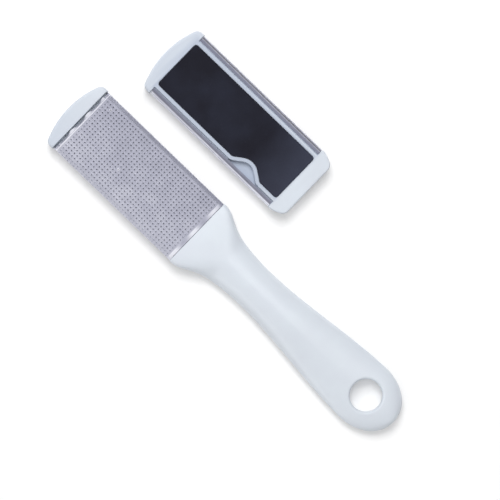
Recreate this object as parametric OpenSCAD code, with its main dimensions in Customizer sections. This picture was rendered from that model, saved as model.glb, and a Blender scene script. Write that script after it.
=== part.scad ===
// Foot file with interchangeable two-sided heads. One head is fitted to the handle with its rasp
// side up. A second, identical head lies beside it with its emery side up.
// X runs along the tool from the tip of the fitted head to the end of the handle, Y points
// towards the loose head, and Z is up. The table is at z = 0.

/* [Placement] */
// Distance between the long axes of the tool and of the loose head
spare_offset_y = 53.6; // [46:0.1:90]
// How far the tip of the loose head lies behind the tip of the tool
spare_offset_x = 15.5; // [0:0.1:60]

/* [Head] */
// Width of the head across its tip and its end block
head_w = 40; // [34:0.5:44]
// Thickness of the head from the rasp face to the emery face
head_t = 10; // [9:0.25:12]
// Length of the arched tip at the middle
tip_l = 8.2; // [7:0.1:11]
// Radius of the arched front of the tip, seen from above
tip_arc_r = 48; // [40:1:70]
// Radius of the tip's corners, seen from above
tip_corner_r = 3.5; // [3:0.1:5]
// Rounding of the tip's edges
tip_edge_r = 1.6; // [0.8:0.1:2.2]
// Length of the bed between the tip and the end block
bed_l = 82.5; // [66:0.5:100]
// How deep the plastic faces lie below the rasp face
tip_drop = 0.3; // [0.1:0.05:0.6]
// Thickness of the bed's long side walls
side_wall = 2.2; // [1.6:0.1:3]
// Thickness of the bed's end walls
end_wall = 2.5; // [2:0.1:4]
// Thickness of the web under the floor of the notch
web_t = 1.5; // [1.4:0.1:2.4]
// Thickness of the ribs under the rasp plate
rib_t = 1.6; // [1.2:0.1:2.4]
// Hollows along the bed
pocket_count_x = 4; // [2:1:6]
// Hollows across the bed
pocket_count_y = 2; // [1:1:3]

/* [End block] */
// Length of the end block
block_l = 8.8; // [8.6:0.1:12]
// Thickness of the end block
block_t = 5; // [4.6:0.1:5.6]
// Radius of the end block's corners, seen from above
block_corner_r = 2; // [1.5:0.5:8.5]
// How far the end block's sides stand back from the outline of the flare over them
block_inset = 0.1; // [0.05:0.05:0.4]
// Rounding of the end block's edges
block_edge_r = 0.8; // [0.4:0.1:1.2]

/* [Rasp plate] */
// Thickness of the steel sheet
sheet_t = 0.4; // [0.3:0.05:0.6]
// How far the sheet's side walls stand back from the sides of the tip
plate_inset = 0.5; // [0.1:0.05:0.8]
// Outside radius of the long edges beside the rasp face
plate_edge_r = 3; // [2:0.1:3.6]
// Outside radius of the bent ends of the rasp face
plate_end_r = 1.2; // [1:0.1:1.8]
// Depth of the bent ends
plate_end_h = 2.4; // [2.3:0.1:3]
// Outside radius of the bend above each side wall
rail_edge_r = 1.1; // [0.8:0.1:1.4]
// Width of the folded rails beside the emery sheet
rail_w = 3; // [2.4:0.1:4.2]
// How far the rails lie below the rim
rail_drop = 0.9; // [0.6:0.05:1.2]
// Gap between the sheet and the moulding under it
sheet_fit = 0.05; // [0.03:0.01:0.1]
// Gap at each end of the side walls and rails
plate_seam = 0.3; // [0.2:0.05:0.5]
// Width of the open groove between the tip and the rasp face
nose_gap = 1.1; // [0.6:0.1:2]
// How much shorter than the rails the rasp face is at the handle
lap_l = 1.3; // [0.8:0.1:3]
// Distance between neighbouring rasp holes along the head
rasp_pitch_x = 1.95; // [1.7:0.05:3]
// Distance between neighbouring rasp holes across the head
rasp_pitch_y = 1.87; // [1.7:0.05:3]
// Diameter of a rasp hole
rasp_hole_d = 0.7; // [0.6:0.05:1.3]
// Plain margin between a bent end and the first row of rasp holes
rasp_margin = 1.2; // [1:0.1:4]

/* [Emery sheet] */
// Thickness of the emery sheet
emery_t = 1; // [0.6:0.05:1.3]
// Thickness of the adhesive film under it
glue_t = 0.2; // [0.1:0.05:0.3]
// How far the adhesive film stays back from the sheet's edge
glue_inset = 0.5; // [0.2:0.1:1.5]
// How far the emery face stands above the rim
emery_proud = 0.4; // [0.2:0.05:0.5]
// Width of the raised rim beside the emery sheet
rim_w = 1.95; // [1.4:0.05:2.6]
// Width of the groove between the rim and the rail
groove_w = 0.6; // [0.4:0.05:1.2]
// Gap around the emery sheet
emery_gap = 0.12; // [0.05:0.01:0.3]
// Radius of the emery sheet's corners
emery_corner_r = 1.5; // [0.6:0.1:2]

/* [Finger notch] */
// Distance from the middle of the notch to the end of the bed
notch_end_l = 21; // [12:0.1:36]
// Depth of the notch into the emery sheet
notch_h = 4.9; // [3.6:0.1:7]
// Radius of the top of the notch at the emery sheet
notch_top_r = 8.2; // [4.5:0.1:9.5]
// Radius of the foot of the notch at the emery sheet
notch_foot_r = 1.5; // [1:0.1:3]
// Angle of the notch's flanks to the long side
notch_angle = 35; // [30:1:45]
// How deep the notch's floor lies below the ledges under the rails
notch_drop = 1.6; // [0.4:0.1:2]

/* [Handle] */
// Length of the handle
handle_l = 136.9; // [120:0.1:160]
// How much narrower than the head the handle starts, at each side
flare_inset = 0.1; // [0:0.1:1]
// Distance in which the flare loses half of its extra width
flare_half_l = 13.1; // [11:0.1:17]
// Width that the flare runs out to at the neck
neck_w = 21.2; // [18:0.2:26]
// Largest width of the grip
grip_w = 34; // [28:0.2:38]
// Where the neck starts to widen into the grip, from the front of the handle
neck_end_x = 34; // [28:0.5:42]
// Where the grip is widest, from the end of the handle
grip_wide_l = 15; // [12:0.5:19]
// Length of the tapering round end
end_l = 22; // [20:0.5:26]
// How far the handle's top face starts below the rasp face
flare_drop = 0.2; // [0.1:0.05:0.6]
// How much the top face rises right behind its front edge
crown_h = 0.7; // [0.2:0.05:0.9]
// Distance in which it does so
crown_l = 7; // [4:0.5:12]
// Where the handle's section has become round, from the front of the handle
round_end_x = 22; // [16:0.5:30]
// Thickness of the handle at its thickest place
neck_t = 11.6; // [10.5:0.1:14]
// Where the handle is thickest, from its front
neck_t_x = 54; // [38:0.5:60]
// Thickness of the handle around the hanging hole
grip_t = 9.2; // [8:0.1:11]

/* [Hanging hole] */
// Diameter of the hanging hole
hole_d = 16.4; // [8:0.1:19]
// Distance from the hole's centre to the end of the handle
hole_end_l = 19.2; // [16:0.1:24]
// Rounding of the hole's edges
hole_edge_r = 1.2; // [0.5:0.1:1.6]

/* [Tongue] */
// Width of the handle's tongue
tongue_w = 18; // [12:0.5:24]
// Thickness of the handle's tongue
tongue_t = 2; // [1.4:0.1:2.4]
// How deep the tongue reaches into the end block
tongue_l = 7.2; // [6:0.1:7.4]
// Radius of the tongue's corners
tongue_corner_r = 1.5; // [0.5:0.1:3]
// Gap between the tongue and its slot
tongue_fit = 0.12; // [0.08:0.01:0.2]
// Gap between the handle and the head around the end block
joint_gap = 0.3; // [0.2:0.05:0.4]

/* [Hidden] */

// Overrun of every cut
over = 1;
// Straight pieces in a quarter turn of a drawn arc
arc_steps = 8;

// Heights in the head's own frame: the rasp face is at 0 and the emery face at head_t
rim_z = head_t - emery_proud;
floor_z = head_t - emery_t - glue_t;
rail_z = rim_z - rail_drop;
ledge_z = rail_z - sheet_t - sheet_fit;
bed_z = sheet_t + sheet_fit;
notch_z = ledge_z - notch_drop;
web_z = notch_z - web_t;
block_z = rim_z - block_t;

// Half widths in the head's own frame
plate_y = head_w / 2 - plate_inset;
bed_y = plate_y - sheet_t - sheet_fit;
rail_y = plate_y - rail_w;
rim_y = rail_y - groove_w;
recess_y = rim_y - rim_w;
emery_y = recess_y - emery_gap;

// Places along the head
bed_x0 = tip_l;
bed_x1 = tip_l + bed_l;
notch_x = bed_x1 - notch_end_l;
head_l = bed_x1 + block_l;
plate_x0 = bed_x0 + plate_seam;
plate_x1 = bed_x1 - plate_seam;
face_x0 = bed_x0 + nose_gap;
face_x1 = plate_x1 - lap_l;

// The whole tool
handle_x = face_x1 + joint_gap;
lap_x = head_l + joint_gap - handle_x;
tool_l = handle_x + handle_l;
tool_y = -spare_offset_y / 2;
tool_x = -tool_l / 2;

// The handle's section is widest at this share of the head's thickness
mid_share = 0.46;
// Exponent of the flare's fall in width
flare_share = 2.5;
// Exponent of the front section's outline, which is boxy
front_share = 7;
// Exponents of the outline above and below the widest line, from the neck on
top_share = 1.8;
low_share = 3;
// Exponents with which the width and the thickness draw in at the round end
end_w_share = 0.45;
end_t_share = 0.17;
// Least drawn-in size at its tip
end_tip_share = 0.03;
// Points around a section of the handle
section_points = 40;
// Sections along the flare, along the grip and around the end
flare_steps = 14;
grip_steps = 16;
end_steps = 12;

// Heights in the handle's own frame: its underside is at 0
mid_z = head_t * mid_share;
front_z = head_t - flare_drop;
shoulder_z = head_t - block_z + joint_gap;
tongue_z = head_t - (rim_z + block_z + tongue_t) / 2;
grip_end_x = handle_l - end_l;
hole_x = handle_l - hole_end_l;

plastic = [0.87, 0.90, 0.94];
steel = [0.68, 0.69, 0.74];
grit = [0.15, 0.16, 0.20];
film = [0.86, 0.82, 0.70];

function arc(centre, r, a0, a1) = [
    for (i = [0 : arc_steps])
        let (a = a0 + (a1 - a0) * i / arc_steps)
        centre + r * [cos(a), sin(a)]
];

// Draws an outline of the Y-Z plane along X, from x0 to x1
module along_x(x0, x1) {
    translate([x0, 0, 0]) rotate([90, 0, 90]) linear_extrude(x1 - x0) children();
}

// Draws an outline of the X-Z plane along Y, from -y to y
module along_y(y) {
    translate([0, y, 0]) rotate([90, 0, 0]) linear_extrude(2 * y) children();
}

// Draws an outline of the X-Y plane from z0 up to z1
module along_z(z0, z1) {
    translate([0, 0, z0]) linear_extrude(z1 - z0) children();
}

// The sheet's wrapped section, outside at inset 0 and inside at inset sheet_t
module wrap_section(inset) {
    y = plate_y - inset;
    low_r = plate_edge_r - inset;
    high_r = rail_edge_r - inset;
    polygon(concat(
        arc([y - low_r, inset + low_r], low_r, -90, 0),
        arc([y - high_r, rail_z - inset - high_r], high_r, 0, 90),
        arc([-y + high_r, rail_z - inset - high_r], high_r, 90, 180),
        arc([-y + low_r, inset + low_r], low_r, 180, 270)
    ));
}

// Keeps what lies from z0 up to z1 of an outline of the Y-Z plane
module between(z0, z1) {
    intersection() {
        children();
        translate([-head_w, z0]) square([2 * head_w, z1 - z0]);
    }
}

// The rasp face and its bent ends seen from the side, drawn in by inset
module long_profile(inset) {
    r = plate_end_r - inset;
    polygon(concat(
        arc([face_x1 - inset - r, inset + r], r, -90, 0),
        [[face_x1 - inset, head_t + over], [face_x0 + inset, head_t + over]],
        arc([face_x0 + inset + r, inset + r], r, 180, 270)
    ));
}

// The space that the sheet wraps, inset from its outside
module wrapped(inset) {
    intersection() {
        along_x(face_x0, face_x1) wrap_section(inset);
        along_y(head_w) long_profile(inset);
    }
}

// The notch's curve, pushed outwards from the emery sheet by d
function notch_curve(base_y, d) =
    let (
        rise = notch_h - (notch_top_r + notch_foot_r) * (1 - cos(notch_angle)),
        foot_x = (notch_top_r + notch_foot_r) * sin(notch_angle) + rise / tan(notch_angle),
        foot_r = notch_foot_r + d,
        top_r = notch_top_r - d,
        foot_y = base_y + notch_foot_r,
        top_y = base_y + notch_h - notch_top_r
    )
    concat(
        arc([notch_x - foot_x, foot_y], foot_r, -90, notch_angle - 90),
        arc([notch_x, top_y], top_r, 90 + notch_angle, 90 - notch_angle),
        arc([notch_x + foot_x, foot_y], foot_r, -90 - notch_angle, -90)
    );

// The emery sheet's outline, pushed outwards by d
module emery_outline(d) {
    x0 = bed_x0 + emery_gap - d;
    x1 = bed_x1 - emery_gap + d;
    y = emery_y + d;
    r = emery_corner_r + d;
    polygon(concat(
        notch_curve(-emery_y, d),
        arc([x1 - r, -y + r], r, -90, 0),
        arc([x1 - r, y - r], r, 0, 90),
        arc([x0 + r, y - r], r, 90, 180),
        arc([x0 + r, -y + r], r, 180, 270)
    ));
}

// The rim's outer outline, with the notch let into it
module rim_outline() {
    polygon(concat(
        notch_curve(-emery_y, rim_y - emery_y),
        [[bed_x1 + over, -rim_y], [bed_x1 + over, rim_y], [bed_x0 - over, rim_y], [bed_x0 - over, -rim_y]]
    ));
}

// The tip's outline, its arch and sides drawn in by inset
module tip_outline(inset) {
    big_r = tip_arc_r - inset;
    r = tip_corner_r - inset;
    y = head_w / 2 - tip_corner_r;
    x = tip_arc_r - sqrt((tip_arc_r - tip_corner_r) ^ 2 - y ^ 2);
    turn = atan2(y, tip_arc_r - x);
    polygon(concat(
        arc([tip_arc_r, 0], big_r, 180 - turn, 180 + turn),
        arc([x, -y], r, 180 + turn, 270),
        [[tip_l, -y - r], [tip_l, y + r]],
        arc([x, y], r, 90, 180 - turn)
    ));
}

// Half width of the end block at x, just inside the flare over it, drawn in by inset
function block_y_at(x, inset) = half_w_at(x - handle_x) - block_inset - inset;

// The end block's outline, its end and sides drawn in by inset
module block_outline(inset) {
    r = block_corner_r - inset;
    x1 = head_l - block_corner_r;
    side = concat(
        [
            for (i = [0 : arc_steps - 1])
                let (x = bed_x1 + (x1 - bed_x1) * i / arc_steps)
                [x, block_y_at(x, inset)]
        ],
        [
            for (i = [0 : arc_steps])
                let (a = 90 * i / arc_steps, x = x1 + r * sin(a))
                [x, block_y_at(x, inset) - r * (1 - cos(a))]
        ]
    );
    n = len(side) - 1;
    polygon(concat([for (p = side) [p[0], -p[1]]], [for (i = [n : -1 : 0]) side[i]]));
}

module arched_tip() {
    r = tip_edge_r;
    hull() {
        for (a = [0 : 30 : 90]) {
            along_z(tip_drop + r * (1 - sin(a)), rim_z - r * (1 - sin(a))) tip_outline(r * (1 - cos(a)));
        }
    }
}

module end_block() {
    r = block_edge_r;
    hull() {
        for (a = [0 : 30 : 90]) {
            along_z(block_z + r * (1 - sin(a)), rim_z - r * (1 - sin(a))) block_outline(r * (1 - cos(a)));
        }
    }
}

// The hollow inside the finger notch, between the rim and the rail
module notch_hollow() {
    curve = notch_curve(-emery_y, rim_y - emery_y);
    n = len(curve) - 1;
    along_z(notch_z, head_t + over) polygon(concat(
        curve,
        [[curve[n][0], -rail_y], [curve[0][0], -rail_y]]
    ));
}

// The bed up to the ledges under the rails, then the rim, with hollows on the rasp side
module bed() {
    nose_z = plate_end_h + sheet_fit;
    difference() {
        union() {
            intersection() {
                wrapped(bed_z);
                along_z(0, ledge_z) translate([0, -head_w / 2]) square([head_l, head_w]);
            }
            // Above the bent ends of the sheet the bed runs on to the tip and over the handle's lap
            along_x(bed_x0, face_x1) between(nose_z, ledge_z) wrap_section(bed_z);
            along_x(bed_x0, bed_x1) between(block_z, ledge_z) wrap_section(bed_z);
            along_z(ledge_z - sheet_fit, rim_z) intersection() {
                rim_outline();
                translate([bed_x0, -head_w / 2]) square([bed_l, head_w]);
            }
        }
        pockets();
    }
}

module pockets() {
    x0 = face_x0 + bed_z + end_wall;
    y0 = -bed_y + side_wall;
    size_x = (face_x1 - bed_z - end_wall - x0 + rib_t) / pocket_count_x;
    size_y = (-2 * y0 + rib_t) / pocket_count_y;
    for (i = [0 : pocket_count_x - 1], j = [0 : pocket_count_y - 1]) {
        translate([x0 + i * size_x, y0 + j * size_y, -over])
            cube([size_x - rib_t, size_y - rib_t, web_z + over]);
    }
}

// The slot in the end block that takes the handle's tongue
module tongue_slot() {
    w = tongue_w + 2 * tongue_fit;
    t = tongue_t + 2 * tongue_fit;
    translate([head_l - tongue_l, -w / 2, block_z + (block_t - t) / 2]) cube([tongue_l + over, w, t]);
}

module head_frame() {
    color(plastic) difference() {
        union() {
            bed();
            arched_tip();
            end_block();
        }
        along_z(floor_z, head_t + over) emery_outline(emery_gap);
        notch_hollow();
        tongue_slot();
    }
}

module rasp_holes() {
    x0 = face_x0 + plate_end_r + rasp_margin;
    x1 = face_x1 - plate_end_r - rasp_margin;
    y1 = plate_y - plate_edge_r;
    count_x = floor((x1 - x0) / rasp_pitch_x);
    count_y = floor(2 * y1 / rasp_pitch_y);
    for (i = [0 : count_x], j = [0 : count_y]) {
        translate([
            (x0 + x1) / 2 + (i - count_x / 2) * rasp_pitch_x,
            (j - count_y / 2) * rasp_pitch_y,
            -over
        ]) cylinder(d = rasp_hole_d, h = sheet_t + 2 * over, $fn = 16);
    }
}

module rasp_plate() {
    color(steel) difference() {
        union() {
            wrapped(0);
            // The side walls and the rails reach further than the rasp face
            along_x(plate_x0, face_x1) between(plate_end_h, head_t) wrap_section(0);
            along_x(face_x0, plate_x1) between(block_z, head_t) wrap_section(0);
        }
        wrapped(sheet_t);
        // Above the bent ends the sheet is open
        along_x(plate_x0 - over, plate_x1 + over) between(plate_end_h, head_t) wrap_section(sheet_t);
        // Between the rails the sheet is open
        translate([0, -rail_y, rail_z - sheet_t - over]) cube([head_l, 2 * rail_y, sheet_t + 2 * over]);
        rasp_holes();
    }
}

module emery_sheet() {
    color(grit) along_z(floor_z + glue_t, head_t) emery_outline(0);
}

module adhesive_film() {
    color(film) along_z(floor_z, floor_z + glue_t) emery_outline(-glue_inset);
}

// Runs smoothly from 0 at a to 1 at b
function ease(x, a, b) = (1 - cos(180 * min(max((x - a) / (b - a), 0), 1))) / 2;

// What the round end leaves of the handle at x, from 1 before it to 0 at its tip
function end_draw(x) =
    let (u = max(x - grip_end_x, 0) / end_l)
    max(1 - u ^ 2, 0);

function half_w_at(x) =
    let (
        flare = (head_w / 2 - flare_inset - neck_w / 2) / (1 + (x / flare_half_l) ^ flare_share),
        grip = (grip_w - neck_w) / 2 * ease(x, neck_end_x, handle_l - grip_wide_l)
    )
    (neck_w / 2 + flare + grip) * max(end_draw(x) ^ end_w_share, end_tip_share);

function top_z_at(x) =
    x < neck_t_x
    ? let (crown = crown_h * sin(90 * min(x / crown_l, 1)))
        front_z + crown + (neck_t - front_z - crown_h) * ease(x, 0, neck_t_x)
    : neck_t + (grip_t - neck_t) * ease(x, neck_t_x, grip_end_x);

// One section of the handle: boxy at the front, rounder from the neck on
function section(x) =
    let (
        half_w = half_w_at(x),
        draw = max(end_draw(x) ^ end_t_share, end_tip_share),
        top_h = (top_z_at(x) - mid_z) * draw,
        low_h = mid_z * draw,
        round_part = ease(x, 0, round_end_x),
        widest = cos(180 / section_points)
    )
    [
        for (i = [0 : section_points - 1])
            let (
                a = 360 * (i + 0.5) / section_points,
                above = a < 180,
                power = front_share + ((above ? top_share : low_share) - front_share) * round_part,
                y = sign(cos(a)) * (abs(cos(a)) / widest) ^ (2 / power) * half_w,
                h = (abs(sin(a)) / widest) ^ (2 / power)
            )
            [x, y, mid_z + (above ? h * top_h : -h * low_h)]
    ];

// The closed skin through a row of sections
module loft(rings) {
    n = len(rings[0]);
    last = len(rings) - 1;
    polyhedron(
        points = [for (ring = rings) each ring],
        faces = concat(
            [[for (i = [0 : n - 1]) i]],
            [
                for (k = [0 : last - 1], i = [0 : n - 1])
                    let (a = k * n + i, b = k * n + (i + 1) % n)
                    each [[a, b + n, b], [a, a + n, b + n]]
            ],
            [[for (i = [n - 1 : -1 : 0]) last * n + i]]
        )
    );
}

module handle_skin() {
    loft(concat(
        [for (i = [0 : flare_steps - 1]) section(neck_end_x * i / flare_steps)],
        [for (i = [0 : grip_steps - 1]) section(neck_end_x + (grip_end_x - neck_end_x) * i / grip_steps)],
        [for (i = [0 : end_steps]) section(grip_end_x + end_l * sin(90 * i / end_steps))]
    ));
}

module tongue() {
    x0 = lap_x - tongue_l;
    y = tongue_w / 2;
    r = tongue_corner_r;
    along_z(tongue_z, tongue_z + tongue_t) polygon(concat(
        arc([x0 + r, y - r], r, 90, 180),
        arc([x0 + r, -y + r], r, 180, 270),
        [[lap_x + over, -y], [lap_x + over, y]]
    ));
}

// The hanging hole, its edges rounded at the top and the underside
module hanging_hole() {
    r = hole_d / 2;
    e = hole_edge_r;
    translate([hole_x, 0, -over]) cylinder(r = r, h = grip_t + 2 * over, $fn = 96);
    for (z = [[0, -1], [grip_t, 1]]) {
        translate([hole_x, 0, z[0]]) scale([1, 1, z[1]]) rotate_extrude($fn = 96) polygon(concat(
            [[r - over, -e]],
            arc([r + e, -e], e, 180, 90),
            [[r + e, over], [r - over, over]]
        ));
    }
}

module handle() {
    color(plastic) difference() {
        union() {
            difference() {
                handle_skin();
                // The end block of the head goes under the front of the flare
                translate([-over, -head_w, -over]) cube([lap_x + over, 2 * head_w, shoulder_z + over]);
            }
            tongue();
        }
        hanging_hole();
    }
}

// The loose head, its emery side up
module as_spare() {
    translate([tool_x + spare_offset_x, spare_offset_y / 2, 0]) children();
}

// The fitted head, its rasp side up
module as_fitted() {
    translate([tool_x, tool_y, head_t]) rotate([180, 0, 0]) children();
}

translate([tool_x + handle_x, tool_y, 0]) handle();
as_fitted() head_frame();  // fitted_head_frame
as_fitted() rasp_plate();  // fitted_rasp_plate
as_fitted() emery_sheet();  // fitted_emery_sheet
as_fitted() adhesive_film();  // fitted_adhesive_film
as_spare() head_frame();  // spare_head_frame
as_spare() rasp_plate();  // spare_rasp_plate
as_spare() emery_sheet();  // spare_emery_sheet
as_spare() adhesive_film();  // spare_adhesive_film
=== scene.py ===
import math
from collections import namedtuple

import bmesh
import bpy
import numpy as np
from mathutils import Matrix, Vector


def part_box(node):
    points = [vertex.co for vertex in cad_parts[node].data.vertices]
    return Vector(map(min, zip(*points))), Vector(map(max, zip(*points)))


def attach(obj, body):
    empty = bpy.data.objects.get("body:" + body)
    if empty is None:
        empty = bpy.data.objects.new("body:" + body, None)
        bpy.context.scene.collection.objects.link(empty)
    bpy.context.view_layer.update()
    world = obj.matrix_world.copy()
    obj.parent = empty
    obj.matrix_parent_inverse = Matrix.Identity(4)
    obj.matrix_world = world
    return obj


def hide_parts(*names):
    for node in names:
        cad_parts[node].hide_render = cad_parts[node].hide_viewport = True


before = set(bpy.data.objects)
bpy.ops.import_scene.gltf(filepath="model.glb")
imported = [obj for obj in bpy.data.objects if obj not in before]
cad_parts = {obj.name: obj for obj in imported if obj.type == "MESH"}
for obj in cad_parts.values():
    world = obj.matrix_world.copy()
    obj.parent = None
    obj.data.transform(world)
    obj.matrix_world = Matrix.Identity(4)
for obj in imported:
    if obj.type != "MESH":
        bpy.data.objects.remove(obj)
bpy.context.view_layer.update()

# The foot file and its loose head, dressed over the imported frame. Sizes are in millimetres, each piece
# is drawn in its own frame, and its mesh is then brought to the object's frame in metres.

MM = 0.001


def box_mm(node):
    low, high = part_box(node)
    return low / MM, high / MM


# Places from the frame

fitted_low, fitted_high = box_mm("fitted_head_frame")
spare_low, spare_high = box_mm("spare_head_frame")
handle_low, handle_high = box_mm("handle")
tool_x = fitted_low.x
tool_y = (fitted_low.y + fitted_high.y) / 2
spare_x = spare_low.x
spare_y = (spare_low.y + spare_high.y) / 2
handle_x = handle_low.x
head_t = box_mm("fitted_rasp_plate")[1].z

TO_METRES = Matrix.Scale(MM, 4)
PLACE = {
    "fitted": TO_METRES @ Matrix.Translation((tool_x, tool_y, head_t)) @ Matrix.Rotation(math.pi, 4, "X"),
    "spare": TO_METRES @ Matrix.Translation((spare_x, spare_y, 0)),
    "handle": TO_METRES @ Matrix.Translation((handle_x, tool_y, 0)),
}

# How far a solid runs into its neighbour, how far a cut runs past what it cuts, and how close two places
# are taken as the same

overlap = 0.5
overrun = 1
near = 0.01

# Sizes of the head, in its own frame: the rasp face is at 0 and the emery face at head_t

head_w = fitted_high.y - fitted_low.y
head_l = fitted_high.x - fitted_low.x
tip_l = 8.2
tip_arc_r = 48
tip_corner_r = 3.5
tip_edge_r = 1.6
tip_rear_r = 0.6
tip_drop = 0.3
bed_l = 82.5
bed_fit = 0.5
bed_gap = 0.1
slot_h = 2
block_t = 5
block_corner_r = 2
block_inset = 0.1
block_edge_r = 0.8
side_wall = 2.2
end_wall = 2.5
web_t = 1.5
rib_t = 1.6
rib_lift = 2
pocket_count = (4, 2)
rim_edge_r = 0.3

# The punched sheet, its lip behind the front bend, its band at the rear with the wave of its painted sheen,
# and its waved front end

sheet_t = 0.4
sheet_fit = 0.05
fit_reach = 0.03
plate_inset = 0.5
plate_edge_r = 3
plate_end_r = 1.2
plate_end_h = 2.4
plate_seam = 0.3
plate_rear_r = 0.2
plate_rear_l = 0.24
rail_edge_r = 1.8
rail_w = 3
rail_drop = 0.9
nose_gap = 1.1
lap_l = 1.3
lip_w = 0.4
lip_flat_w = 0.15
band_inset = 0.3
band_sheen_l = 14.5
band_sheen_s = 1
wave_h = 0.7
wave_l = 11.4
wave_s = 1
wave_reach = 0.05
wave_turn = 40

# The rasp's holes. Each is a stack of rings, given by radius, depth under the highest point and tone: a
# faint painted highlight on the burr's crest and painted shade growing darker down into the hole

pitch_x = 1.95
pitch_y = 1.87
hole_count_x = 39
hole_count_y = 22
burr_h = 0.1
inside_d = sheet_t + fit_reach
hole_rings = (
    (0.82, burr_h, 0.5),
    (0.66, 0.05, 0.53),
    (0.54, 0, 0.53),
    (0.42, 0.02, 0.45),
    (0.3, 0.12, 0.38),
    (0.22, inside_d, 0.3),
)
# Two holes whose burrs carry painted glints, inside this radius
painted_glint_holes = ((14, 13), (2, 3))
painted_glint_r = 0.6

# The emery sheet, the rim around it and its finger notch

emery_t = 1
glue_t = 0.2
emery_proud = 0.4
rim_w = 1.95
groove_w = 0.6
emery_gap = 0.12
emery_corner_r = 1.5
emery_edge_r = 0.15
notch_end_l = 21
notch_half_l = 12
notch_h = 4.9
notch_top_r = 8.2
notch_foot_r = 1.5
notch_angle = 35
notch_drop = 1.6

# The joint between head and handle

tongue_w = 18
tongue_t = 2
tongue_l = 7.2
tongue_corner_r = 1.5
tongue_fit = 0.12
joint_gap = 0.3

# Places on the head that follow from its sizes

rim_z = head_t - emery_proud
floor_z = head_t - emery_t - glue_t
rail_z = rim_z - rail_drop
ledge_z = rail_z - sheet_t - sheet_fit
bed_z = sheet_t + sheet_fit
notch_z = ledge_z - notch_drop
web_z = notch_z - web_t
block_z = rim_z - block_t
plate_y = head_w / 2 - plate_inset
rail_y = plate_y - rail_w
rim_y = rail_y - groove_w
emery_y = rim_y - rim_w - emery_gap
bed_x0 = tip_l
bed_x1 = tip_l + bed_l
plate_x0 = bed_x0 + plate_seam
plate_x1 = bed_x1 - plate_seam
face_x0 = bed_x0 + nose_gap
face_x1 = plate_x1 - lap_l
rear_x = face_x1 + plate_rear_l
notch_x = bed_x1 - notch_end_l

# Sizes of the handle, in its own frame: its front is at x = 0 and its underside at z = 0

handle_l = handle_high.x - handle_low.x
flare_inset = 0.1
flare_half_l = 13.1
flare_share = 2.5
flare_drop = 0.2
crown_h = 0.7
crown_l = 7
neck_w = 21.2
neck_end_x = 34
neck_t = handle_high.z
neck_t_x = 54
grip_w = 34
grip_wide_l = 15
grip_t = 9.2
end_l = 22
end_w_share = 0.45
end_t_share = 0.17
end_tip_share = 0.03
round_end_x = 22
mid_share = 0.46
front_share = 7
top_share = 1.8
low_share = 3
front_edge_r = 0.15
hole_r = 8.2
hole_end_l = 19.2
hole_edge_r = 1.2
hole_patch_l = 18

mid_z = head_t * mid_share
front_z = head_t - flare_drop
shoulder_z = head_t - block_z + joint_gap
tongue_z = head_t - (rim_z + block_z + tongue_t) / 2
grip_end_x = handle_l - end_l
hole_x = handle_l - hole_end_l
junction_x = hole_x - hole_patch_l
lap_x = head_l - face_x1

# How finely the handle's skin is divided

half_count = 80
length_count = 110
edge_count = 150
ray_count = 22
lip_count = 8
front_count = 6

# Painted shade on the head's moulding, from 0 to 1: in its hollows, on its rim, on the edge of its tip and
# its block beside the emery sheet, and on the tip's side below the bent steel, by the place across

hollow_painted_shade = 1
rim_painted_shade = 0.95
tip_brim_painted_shade = 0.35
block_brim_painted_shade = 0.3
tip_side_painted_shade = 0.2
tip_side_shade_slope = 0.4
shaded_brim_w = 0.6

# How bright the steel is painted, from 0 to 1: on its flats, its own dull colour; on its band, a painted
# sheen; and around the bend of its two rails, painted reflections that fall to painted shade on the rail
# flats, by the share of the bend

flat_tone = 0.5
band_sheen = 0.7
band_sheen_change = 0.3
near_rail_shares = (0, 0.2, 0.4, 0.6, 0.8, 1)
near_rail_painted_light = (0.5, 0.85, 1, 0.9, 0.5, 0)
far_rail_shares = (0, 0.3, 0.6, 0.85, 1)
far_rail_painted_light = (0.2, 0.35, 0.75, 0.85, 0)

# The steel turns from dull to clear over this height of its side walls

fold_z = 0.8
fold_h = 2


# Outlines

def ease(x, a, b):
    """Runs smoothly from 0 at a to 1 at b"""
    return (1 - math.cos(math.pi * min(max((x - a) / (b - a), 0), 1))) / 2


def end_draw(x):
    """What the round end leaves of the handle at x"""
    u = max(x - grip_end_x, 0) / end_l
    return max(1 - u * u, 0)


def half_width(x):
    """Half the handle's width at x"""
    flare = (head_w / 2 - flare_inset - neck_w / 2) / (1 + (x / flare_half_l) ** flare_share)
    grip = (grip_w - neck_w) / 2 * ease(x, neck_end_x, handle_l - grip_wide_l)
    return (neck_w / 2 + flare + grip) * max(end_draw(x) ** end_w_share, end_tip_share)


def arc(x, y, r, start, end, steps=12):
    """Points of an arc, its angles in degrees"""
    angles = [math.radians(start + (end - start) * i / steps) for i in range(steps + 1)]
    return [(x + r * math.cos(a), y + r * math.sin(a)) for a in angles]


def notch_curve(base_y, d):
    """The finger notch, pushed outwards from the emery sheet by d"""
    turn = math.radians(notch_angle)
    rise = notch_h - (notch_top_r + notch_foot_r) * (1 - math.cos(turn))
    foot_x = (notch_top_r + notch_foot_r) * math.sin(turn) + rise / math.tan(turn)
    foot_y = base_y + notch_foot_r
    top_y = base_y + notch_h - notch_top_r
    return (
        arc(notch_x - foot_x, foot_y, notch_foot_r + d, -90, notch_angle - 90)
        + arc(notch_x, top_y, notch_top_r - d, 90 + notch_angle, 90 - notch_angle, steps=20)
        + arc(notch_x + foot_x, foot_y, notch_foot_r + d, -90 - notch_angle, -90)
    )


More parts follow.
